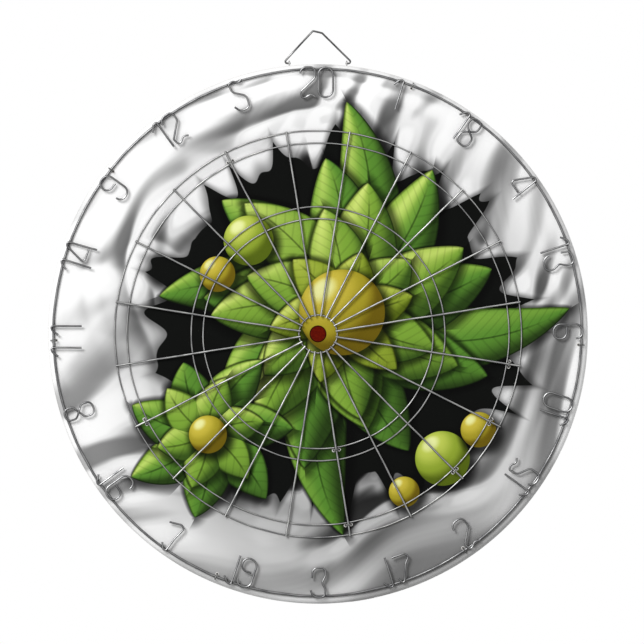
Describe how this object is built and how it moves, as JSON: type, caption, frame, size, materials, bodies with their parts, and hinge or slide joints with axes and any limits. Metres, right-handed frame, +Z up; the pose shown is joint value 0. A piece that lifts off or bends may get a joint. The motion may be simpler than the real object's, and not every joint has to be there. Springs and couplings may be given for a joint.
{
  "type": "dartboard",
  "caption": "Round wall dartboard of wound paper with a printed facing, a wire spider, a ring of bent-wire numbers and a wire hanging loop.",
  "frame": {"origin": "middle of the back face, which lies against the wall", "axes": "-Y out of the wall towards the player, +Z up the board to the number 20, +X to the player's right"},
  "size_m": [0.451, 0.0312, 0.4793],
  "materials": {
    "wound_paper": "matt wound paper tape",
    "red_plug": "matt, painted dark red",
    "printed_facing": "satin print",
    "backing_paper": "matt",
    "spider_wire": "drawn galvanised wire",
    "number_wire": "drawn galvanised wire",
    "staple_wire": "drawn galvanised wire",
    "hanger_wire": "drawn galvanised wire"
  },
  "bodies": {
    "board": {"board_core": "wound_paper", "bull_plug": "red_plug", "front_sheet": "printed_facing", "back_sheet": "backing_paper", "double_ring_outer": "spider_wire", "double_ring_inner": "spider_wire", "triple_ring_outer": "spider_wire", "triple_ring_inner": "spider_wire", "bull_ring": "spider_wire", "radial_wire_01": "spider_wire", "radial_wire_02": "spider_wire", "radial_wire_03": "spider_wire", "radial_wire_04": "spider_wire", "radial_wire_05": "spider_wire", "radial_wire_06": "spider_wire", "radial_wire_07": "spider_wire", "radial_wire_08": "spider_wire", "radial_wire_09": "spider_wire", "radial_wire_10": "spider_wire", "radial_wire_11": "spider_wire", "radial_wire_12": "spider_wire", "radial_wire_13": "spider_wire", "radial_wire_14": "spider_wire", "radial_wire_15": "spider_wire", "radial_wire_16": "spider_wire", "radial_wire_17": "spider_wire", "radial_wire_18": "spider_wire", "radial_wire_19": "spider_wire", "radial_wire_20": "spider_wire", "number_ring": "number_wire", "numeral_20": "number_wire", "numeral_1": "number_wire", "numeral_18": "number_wire", "numeral_4": "number_wire", "numeral_13": "number_wire", "numeral_6": "number_wire", "numeral_10": "number_wire", "numeral_15": "number_wire", "numeral_2": "number_wire", "numeral_17": "number_wire", "numeral_3": "number_wire", "numeral_19": "number_wire", "numeral_7": "number_wire", "numeral_16": "number_wire", "numeral_8": "number_wire", "numeral_11": "number_wire", "numeral_14": "number_wire", "numeral_9": "number_wire", "numeral_12": "number_wire", "numeral_5": "number_wire", "number_ring_staple_1": "staple_wire", "number_ring_staple_2": "staple_wire", "number_ring_staple_3": "staple_wire", "number_ring_staple_4": "staple_wire", "number_ring_staple_5": "staple_wire", "number_ring_staple_6": "staple_wire", "hanger_eye_left": "hanger_wire", "hanger_eye_right": "hanger_wire"},
    "hanger": {"hanger": "hanger_wire"}
  },
  "joints": [
    {"name": "hanger_swing", "type": "hinge", "parent": "board", "child": "hanger", "pos_m": [0, -0.0125, 0.226], "axis": [1, 0, 0], "range_deg": [-85, 85]}
  ]
}
